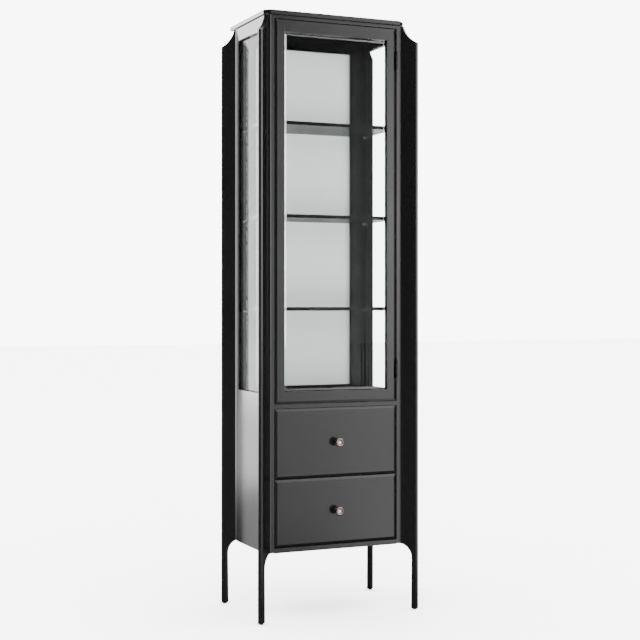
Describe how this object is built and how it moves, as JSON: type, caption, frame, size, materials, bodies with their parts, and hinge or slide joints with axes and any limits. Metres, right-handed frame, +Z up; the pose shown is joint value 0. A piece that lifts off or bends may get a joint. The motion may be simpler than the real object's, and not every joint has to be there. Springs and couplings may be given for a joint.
{
  "type": "display cabinet",
  "caption": "Tall narrow display cabinet with a glazed door, glazed sides and shelves above a stack of drawers, on diagonal finned corner posts that run down into slim legs.",
  "frame": {"origin": "centre of the cabinet's footprint box, on the floor plane under its feet", "axes": "+Z up, -Y towards the front where the door and drawers are, +X to the right of someone facing the front"},
  "size_m": [0.595, 0.401, 2.064],
  "materials": {
    "black_lacquer": "smooth satin black lacquer on wood, with a soft sheen",
    "back_panel_lacquer": "light grey satin lacquer on a thin wood-based board",
    "clear_glass": "clear polished float glass",
    "crystal": "polished clear cut glass",
    "knob_metal": "dark bronzed brass, worn bright on the edges",
    "hinge_metal": "black painted steel",
    "zinc_steel": "bright zinc-plated steel",
    "catch_plastic": "black moulded plastic",
    "drawer_wood": "dark stained wood, thin satin coat",
    "glide_plastic": "black nylon"
  },
  "bodies": {
    "cabinet": {"back_bottom_rail": "black_lacquer", "back_left_stile": "black_lacquer", "back_panel": "back_panel_lacquer", "back_panel_screws": "zinc_steel", "back_right_stile": "black_lacquer", "back_top_rail": "black_lacquer", "bottom_board": "black_lacquer", "display_floor": "black_lacquer", "foot_glides": "glide_plastic", "front_left_post": "black_lacquer", "front_right_post": "black_lacquer", "header_board": "black_lacquer", "hinge_frame_leaves": "hinge_metal", "hinge_pins": "hinge_metal", "left_front_glazing_stile": "black_lacquer", "left_lower_panel": "black_lacquer", "left_rear_glazing_stile": "black_lacquer", "left_side_glass": "clear_glass", "left_top_rail": "black_lacquer", "lower_drawer_runners": "zinc_steel", "lower_shelf": "black_lacquer", "magnet_catch": "catch_plastic", "middle_shelf": "black_lacquer", "rear_left_post": "black_lacquer", "rear_right_post": "black_lacquer", "right_front_glazing_stile": "black_lacquer", "right_lower_panel": "black_lacquer", "right_rear_glazing_stile": "black_lacquer", "right_side_glass": "clear_glass", "right_top_rail": "black_lacquer", "shelf_pins": "zinc_steel", "top_board": "black_lacquer", "top_spacer": "black_lacquer", "upper_drawer_runners": "zinc_steel", "upper_shelf": "black_lacquer"},
    "door": {"door_bottom_rail": "black_lacquer", "door_glass": "clear_glass", "door_left_stile": "black_lacquer", "door_right_stile": "black_lacquer", "door_top_rail": "black_lacquer", "hinge_door_leaves": "hinge_metal", "strike_plate": "zinc_steel"},
    "upper_drawer": {"upper_drawer_back": "drawer_wood", "upper_drawer_bottom": "drawer_wood", "upper_drawer_front": "black_lacquer", "upper_drawer_knob": "knob_metal", "upper_drawer_knob_crystal": "crystal", "upper_drawer_left_side": "drawer_wood", "upper_drawer_right_side": "drawer_wood", "upper_drawer_slides": "zinc_steel"},
    "lower_drawer": {"lower_drawer_back": "drawer_wood", "lower_drawer_bottom": "drawer_wood", "lower_drawer_front": "black_lacquer", "lower_drawer_knob": "knob_metal", "lower_drawer_knob_crystal": "crystal", "lower_drawer_left_side": "drawer_wood", "lower_drawer_right_side": "drawer_wood", "lower_drawer_slides": "zinc_steel"}
  },
  "joints": [
    {"name": "door_swing", "type": "hinge", "parent": "cabinet", "child": "door", "pos_m": [0.22735, -0.16437, 1.3835], "axis": [0, 0, 1], "range_deg": [0, 110]},
    {"name": "upper_drawer_slide", "type": "slide", "parent": "cabinet", "child": "upper_drawer", "axis": [0, -1, 0], "range_m": [0, 0.19]},
    {"name": "lower_drawer_slide", "type": "slide", "parent": "cabinet", "child": "lower_drawer", "axis": [0, -1, 0], "range_m": [0, 0.19]}
  ]
}
